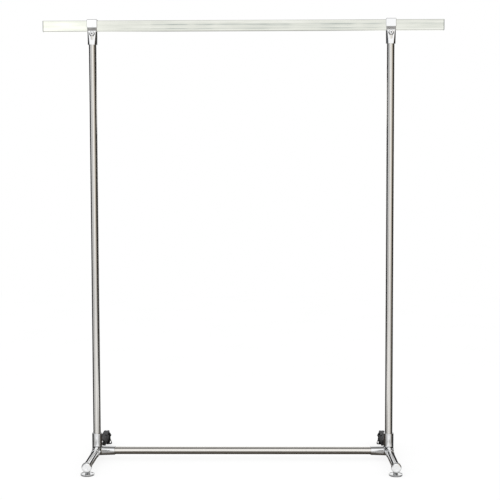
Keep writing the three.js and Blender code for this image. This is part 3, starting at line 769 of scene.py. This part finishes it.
def fork_sdf(x, y, z):
    ay = np.abs(y)
    side = poly_sdf(x, z, CHEEK) + 0.0
    cheeks = smax(side, span(ay, 8.8, 10.8), 0.7)
    top = smax(smax(span(x, -12, 19), ay - 10.8, 1.2), span(z, 39.6, 43.6), 0.8)
    disc = smax(np.hypot(x, y) - 12.5, span(z, 39.6, 43.6), 0.8)
    body = smin(smin(cheeks, top, 1.0), disc, 0.8)
    body = smax(body, -np.maximum(np.hypot(x, y) - 3.3, 30 - z), 0.3)
    body = smax(body, -(np.hypot(x - TRAIL, z - AXLE_Z) - 3.3), 0.3)
    return smax(body, -(np.hypot(x - 26, z - 37.5) - 2.3), 0.3)


def pedal_sdf(x, y, z):
    ay = np.abs(y)
    px, pz = x - 26, z - 37.5
    barrel = smax(np.hypot(px, pz) - 4.2, ay - 8.2, 0.6)
    lever = smax(poly_sdf(x, z, [(26, 33.6), (34.4, 20.2), (37.6, 18.8), (37.9, 21), (30.1, 37)]), ay - 7, 0.8)
    tab = poly_sdf(x, z, [(34.4, 21), (36.9, 3), (40, 3.4), (37.8, 21)])
    h = z - 2.6
    # rounded outline seen from behind: wide and round at the foot, tapering up to the lever
    wide = np.where(h < 6, 12.5, 12.5 - (h - 6) * 5.0 / 16)
    out = smax(ay - wide, -h, 7.0)
    loop = smax(tab, out, 0.9)
    hz = 7.34 + (x - 36.9) * 0.1067
    hole = smax(ay - 8.6, span(z, hz, hz + 9.0), 3.0)
    loop = smax(loop, -hole, 0.8)
    body = smin(smin(barrel, lever, 1.2), loop, 1.0)
    return smax(body, -(np.hypot(px, pz) - 2.3), 0.3)


fv, ff = nets(fork_sdf, (-14.2, -11, 12.8), (30.8, 11, 43.8), 0.55 * fine)
pv, pf = nets(pedal_sdf, (21.5, -12.8, 2.4), (40.6, 12.8, 42), 0.5 * fine)
for name, s in SIDES:
    w = joints["wheel_spin_" + name]["axis"]
    ca, sa = w[1], -w[0]
    base = np.array([s * UX, CASTOR_Y, 0])

    def local(v):
        return np.stack([v[:, 0] * ca - v[:, 1] * sa, v[:, 0] * sa + v[:, 1] * ca, v[:, 2]], 1) + base

    v, f = revolve(soften([(3.4, 43.9), (11.5, 43.9, 0.3), (11.5, 44.9, 0.1), (10.9, 45.05, 0.1), (10.9, 45.35, 0.1), (11.5, 45.5, 0.1), (11.5, 46.5, 0.3), (3.4, 46.5)], 0.2, 2, closed=True), 96, closed=True)
    piece("swivel_race_" + name, local(v), f, "frame", zinc_plate, ["castor_race_" + name])
    v, f = revolve(soften([(0, 38.0), (5.0, 38.0, 0.4), (5.5, 38.4, 0.2), (5.5, 39.3, 0.1), (3.0, 39.3, 0.1), (3.0, 50.7, 0.1), (6.0, 50.7, 0.2), (5.6, 51.4, 0.5), (3.5, 51.85, 1.2), (0, 52.0)], 0.2, 4), 72)
    piece("swivel_rivet_" + name, local(v), f, "frame", zinc_plate, ["castor_rivet_" + name])
    piece("castor_yoke_" + name, local(fv), ff, "castor_" + name, enamel, ["castor_fork_" + name], sharp=50, weigh=False)
    v, f = revolve(soften([(0, -12.6), (3.4, -12.6, 0.8), (4.6, -12.0, 0.4), (4.6, -11.1, 0.1), (3.0, -11.1, 0.1), (3.0, 11.1, 0.1), (4.6, 11.1, 0.1), (4.6, 12.0, 0.4), (3.4, 12.6, 0.8), (0, 12.6)], 0.2, 4), 64)
    off = np.array([TRAIL, 0, AXLE_Z])
    piece("wheel_axle_" + name, local(turn_axis(v, "y") + off), f, "castor_" + name, zinc_plate, ["castor_axle_" + name])
    hub = [(3.3, -8.4, 0.2), (5.6, -8.4, 0.4), (6.2, -6.9, 0.5), (7.0, -5.3, 0.5), (10.6, -5.1, 0.6), (11.6, -6.5, 0.5), (13.4, -6.6, 0.2), (13.4, 6.6, 0.2), (11.6, 6.5, 0.5), (10.6, 5.1, 0.6), (7.0, 5.3, 0.5), (6.2, 6.9, 0.5), (5.6, 8.4, 0.4), (3.3, 8.4, 0.2)]
    v, f = revolve(soften(hub, 0.3, 3, closed=True), 96, closed=True)
    piece("wheel_hub_" + name, local(turn_axis(v, "y") + off), f, "wheel_" + name, nylon, ["castor_hub_" + name])
    tyre = [(13.75, -6.6, 0.2), (15.4, -7.3, 0.5), (17.0, -7.5, 1.2), (18.35, -5.6, 2.2), (18.5, -3.2, 1.5), (18.5, 3.2, 1.5), (18.35, 5.6, 2.2), (17.0, 7.5, 1.2), (15.4, 7.3, 0.5), (13.75, 6.6, 0.2)]
    v, f = revolve(soften(tyre, 0.3, 4, closed=True), 120, closed=True)
    piece("wheel_tyre_" + name, local(turn_axis(v, "y") + off), f, "wheel_" + name, tread, ["castor_tyre_" + name])
    v, f = revolve(soften([(0, -12.2), (2.6, -12.2, 0.5), (3.2, -11.8, 0.3), (3.2, -11.1, 0.1), (2.0, -11.1, 0.1), (2.0, 11.1, 0.1), (3.2, 11.1, 0.1), (3.2, 11.8, 0.3), (2.6, 12.2, 0.5), (0, 12.2)], 0.2, 3), 48)
    piece("pedal_pin_" + name, local(turn_axis(v, "y") + np.array([26, 0, 37.5])), f, "castor_" + name, zinc_plate, ["brake_pin_" + name])
    piece("brake_lever_" + name, local(pv), pf, "brake_" + name, pedal_nylon, ["brake_pedal_" + name], sharp=50, weigh=False)

# ================================================================ stage: pale floor, soft studio light, camera
def plane(name, x0, x1, y0, y1, z):
    fm = bpy.data.meshes.new(name)
    fm.from_pydata([(x0, y0, z), (x1, y0, z), (x1, y1, z), (x0, y1, z)], [], [(0, 1, 2, 3)])
    ob = bpy.data.objects.new(name, fm)
    scene.collection.objects.link(ob)
    return ob


# the floor that is seen: pale, evenly lit, with only a faint contact shadow
floor = plane("studio_floor", -6, 6, -6, 6, 0)
m, nt, p = node_material("pale_floor")
fn_ = noise(nt, coords(nt, (1, 1, 1)), 3, 4, 0.5)
nt.links.new(ramp(nt, fn_, [(0.3, (0.155, 0.155, 0.155)), (0.7, (0.165, 0.165, 0.165))]), p.inputs["Base Color"])
p.inputs["Roughness"].default_value = 0.9
p.inputs["Specular IOR Level"].default_value = 0.0
p.inputs["Emission Color"].default_value = (1, 1, 1, 1)
p.inputs["Emission Strength"].default_value = 0.83
floor.data.materials.append(m)
floor.visible_glossy = False

# the same floor as the polished metal sees it: a white sweep in front of the rack, with painted shadow (darker base
# colour by position) under and behind the low crossbar
fm = bpy.data.meshes.new("reflected_sweep")
fm.from_pydata([(-25, -8.2, 0.0002), (8, -8.2, 0.0002), (0.64, 0, 0.0002), (0.64, 0.35, 0.0002), (-0.64, 0.35, 0.0002), (-0.64, 0, 0.0002)], [], [(0, 1, 2, 3, 4, 5)])
sweep = bpy.data.objects.new("reflected_sweep", fm)
scene.collection.objects.link(sweep)
m, nt, p = node_material("reflected_sweep")
sp = nt.nodes.new("ShaderNodeSeparateXYZ")
nt.links.new(coords(nt, (1, 1, 1)), sp.inputs[0])
front = math2(nt, "MULTIPLY", sp.outputs["Y"], -1.0)
shade = ramp(nt, remap(nt, front, -0.1, 0.5, 0.0, 1.0), [(0.0, (0.06, 0.05, 0.045)), (0.17, (0.11, 0.095, 0.08)), (0.22, (0.16, 0.14, 0.12)), (0.34, (0.44, 0.43, 0.42)), (0.5, (0.60, 0.60, 0.59)), (0.72, (0.88, 0.88, 0.88))])
# painted light: brighter in a wedge in front of each upright
side_off = math2(nt, "ABSOLUTE", math2(nt, "SUBTRACT", math2(nt, "ABSOLUTE", sp.outputs["X"], 0.0), 0.558), 0.0)
wedge = remap(nt, math2(nt, "DIVIDE", side_off, math2(nt, "ADD", math2(nt, "ABSOLUTE", sp.outputs["Y"], 0.0), 0.12)), 0.22, 0.5, 1.0, 0.66)
mul = nt.nodes.new("ShaderNodeVectorMath")
mul.operation = "SCALE"
nt.links.new(shade, mul.inputs[0])
nt.links.new(wedge, mul.inputs["Scale"])
nt.links.new(mul.outputs[0], p.inputs["Base Color"])
p.inputs["Roughness"].default_value = 0.9
p.inputs["Specular IOR Level"].default_value = 0.0
fm.materials.append(m)
sweep.visible_camera = sweep.visible_diffuse = sweep.visible_shadow = sweep.visible_transmission = False

# a pale card behind the rail, seen only in its underside, brighter towards the two ends
fm = bpy.data.meshes.new("underside_card")
fm.from_pydata([(-1.25, 1.0, 1.34), (1.25, 1.0, 1.34), (1.25, 1.0, 1.57), (-1.25, 1.0, 1.57)], [], [(0, 1, 2, 3)])
card_ob = bpy.data.objects.new("underside_card", fm)
scene.collection.objects.link(card_ob)
m, nt, p = node_material("underside_card")
sp = nt.nodes.new("ShaderNodeSeparateXYZ")
nt.links.new(coords(nt, (1, 1, 1)), sp.inputs[0])
p.inputs["Base Color"].default_value = (0, 0, 0, 1)
p.inputs["Specular IOR Level"].default_value = 0.0
p.inputs["Roughness"].default_value = 1.0
p.inputs["Emission Color"].default_value = (1, 1, 0.985, 1)
nt.links.new(remap(nt, math2(nt, "ABSOLUTE", sp.outputs["X"], 0.0), 0.38, 0.62, 0.62, 1.15), p.inputs["Emission Strength"])
fm.materials.append(m)
card_ob.visible_camera = card_ob.visible_diffuse = card_ob.visible_shadow = card_ob.visible_transmission = False

world = bpy.data.worlds.new("studio")
scene.world = world
world.use_nodes = True
nt = world.node_tree
nt.nodes.clear()
out = nt.nodes.new("ShaderNodeOutputWorld")
tc = nt.nodes.new("ShaderNodeTexCoord")
sep = nt.nodes.new("ShaderNodeSeparateXYZ")
nt.links.new(tc.outputs["Generated"], sep.inputs[0])
neg_y = math2(nt, "MULTIPLY", sep.outputs["Y"], -1.0)
az = math2(nt, "MULTIPLY", math2(nt, "ARCTAN2", sep.outputs["X"], neg_y), 180 / math.pi)
el = math2(nt, "MULTIPLY", math2(nt, "ARCSINE", sep.outputs["Z"], 0.0), 180 / math.pi)


def edge(value, a, b):
    """0 before a, 1 after b, smooth between."""
    r = nt.nodes.new("ShaderNodeMapRange")
    r.interpolation_type = "SMOOTHSTEP"
    r.inputs["From Min"].default_value, r.inputs["From Max"].default_value = min(a, b), max(a, b)
    r.inputs["To Min"].default_value, r.inputs["To Max"].default_value = (0, 1) if a < b else (1, 0)
    nt.links.new(value, r.inputs["Value"])
    return r.outputs[0]


def curve_of(value, lo, hi, stops):
    """A colour that follows value through stops [(value, colour)]."""
    t = remap(nt, value, lo, hi, 0, 1)
    r = nt.nodes.new("ShaderNodeValToRGB")
    els = r.color_ramp.elements
    while len(els) < len(stops):
        els.new(0.5)
    for e_, (pos, col) in zip(els, stops):
        e_.position = (pos - lo) / (hi - lo)
        e_.color = (*(min(1, c) for c in col), 1)
    nt.links.new(t, r.inputs[0])
    return r.outputs[0]


def mix(fac, a, b):
    x = nt.nodes.new("ShaderNodeMix")
    x.data_type = "RGBA"
    if isinstance(fac, (int, float)):
        x.inputs["Factor"].default_value = fac
    else:
        nt.links.new(fac, x.inputs["Factor"])
    for sock, val in (("A", a), ("B", b)):
        i = [q for q in x.inputs if q.name == sock and q.type == "RGBA"][0]
        if isinstance(val, tuple):
            i.default_value = (*val, 1)
        else:
            nt.links.new(val, i)
    return [q for q in x.outputs if q.type == "RGBA"][0]


ROOM = 1.5
g = lambda k, warm=0.0: (k * 1.12 / ROOM * (1 + 0.10 * warm), k * 1.12 / ROOM, k * 1.12 / ROOM * (1 - 0.14 * warm))
# the room as the metal sees it, by direction round the horizon (0 = in front, + = to the right)
horizon = curve_of(az, -180, 180, [(-180, g(0.92)), (-148, g(0.86)), (-140, g(0.05)), (-124, g(0.015)), (-80, g(0.02, -0.6)), (-70, g(0.60, -0.4)), (-55, g(0.80, -0.2)), (-43, g(0.58)), (-24, g(0.56)),
                                   (-14, g(0.98)), (12, g(1.0)), (22, g(0.78, 0.45)), (42, g(0.56, 0.85)), (55, g(0.28, 1.2)), (64, g(0.024, 1.6)), (122, g(0.015, 1)), (138, g(0.05)), (146, g(0.86)), (180, g(0.92))])
ceiling = g(0.20)
ground_front = curve_of(el, -90, 0, [(-90, g(0.12, 1)), (-55, g(0.13, 1)), (-34, g(0.22, 0.9)), (-20, g(0.24, 0.5)), (-6, g(0.26, 0.2)), (0, g(0.30))])
ground_warm = curve_of(el, -90, 0, [(-90, g(0.12, 1)), (-55, g(0.13, 1.2)), (-34, g(0.21, 1.4)), (-20, g(0.22, 1.4)), (-6, g(0.24, 1.2)), (0, g(0.29, 1.0))])
ground_front = mix(edge(az, 5, 30), ground_front, ground_warm)
ground_side = g(0.03)
ground_back = g(0.22)
abs_az = math2(nt, "ABSOLUTE", az, 0.0)
behind = edge(abs_az, 120, 140)
ground = mix(edge(abs_az, 60, 76), ground_front, ground_side)
ground = mix(behind, ground, ground_back)
# two black flags behind, each side of the middle
off_back = math2(nt, "SUBTRACT", 180.0, abs_az)
flags = math2(nt, "MULTIPLY", math2(nt, "MULTIPLY", edge(off_back, 5.5, 8), edge(off_back, 21, 18.5)), math2(nt, "MULTIPLY", edge(el, -34, -28), edge(el, 15, 10)))
# a bright card high on the left, which only the end of the rail catches
card = math2(nt, "MULTIPLY", math2(nt, "MULTIPLY", edge(az, -20, -16), edge(az, -8.2, -9.6)), math2(nt, "MULTIPLY", edge(el, 4.5, 6), edge(el, 13, 11)))
room = mix(edge(el, 48, 62), horizon, ceiling)
room = mix(edge(el, -5.5, -8.5), room, ground)
room = mix(flags, room, g(0.015))
room = mix(card, room, (0.98, 0.98, 0.96))
path = nt.nodes.new("ShaderNodeLightPath")
bg_room, bg_soft, bg_cam = (nt.nodes.new("ShaderNodeBackground") for _ in range(3))
nt.links.new(room, bg_room.inputs["Color"])
bg_room.inputs["Strength"].default_value = ROOM
bg_soft.inputs["Color"].default_value = (1, 1, 1, 1)
bg_soft.inputs["Strength"].default_value = 1.06
bg_cam.inputs["Color"].default_value = (1, 1, 1, 1)
bg_cam.inputs["Strength"].default_value = 1.0
m1, m2 = nt.nodes.new("ShaderNodeMixShader"), nt.nodes.new("ShaderNodeMixShader")
nt.links.new(path.outputs["Is Glossy Ray"], m1.inputs[0])
nt.links.new(bg_soft.outputs[0], m1.inputs[1])
nt.links.new(bg_room.outputs[0], m1.inputs[2])
nt.links.new(path.outputs["Is Camera Ray"], m2.inputs[0])
nt.links.new(m1.outputs[0], m2.inputs[1])
nt.links.new(bg_cam.outputs[0], m2.inputs[2])
nt.links.new(m2.outputs[0], out.inputs[0])

lamp = bpy.data.lights.new("soft_key", "AREA")
lamp.shape, lamp.size, lamp.size_y, lamp.energy = "RECTANGLE", 2.4, 1.6, 22
key_light = bpy.data.objects.new("soft_key", lamp)
key_light.location = (-1.2, -2.6, 3.0)
key_light.rotation_euler = (Vector((0, 0, 0.6)) - key_light.location).to_track_quat("-Z", "Y").to_euler()
scene.collection.objects.link(key_light)
key_light.visible_glossy = False

yaw, pitch, roll = -0.0138567, 0.0641218, -0.00257488
fw = Vector((math.sin(yaw) * math.cos(pitch), math.cos(yaw) * math.cos(pitch), -math.sin(pitch)))
rt = Vector((math.cos(yaw), -math.sin(yaw), 0))
upv = rt.cross(fw)
r2 = rt * math.cos(roll) + upv * math.sin(roll)
u2 = -rt * math.sin(roll) + upv * math.cos(roll)
cam_data = bpy.data.cameras.new("camera")
cam_data.sensor_width, cam_data.lens = 36.0, 1116.33 / 500 * 36.0
cam = bpy.data.objects.new("camera", cam_data)
cam.matrix_world = Matrix(((r2.x, u2.x, -fw.x, 0.0886494), (r2.y, u2.y, -fw.y, -4.21865), (r2.z, u2.z, -fw.z, 1.07328), (0, 0, 0, 1)))
scene.collection.objects.link(cam)
scene.camera = cam
scene.view_settings.view_transform = "Standard"
scene.view_settings.look = "None"
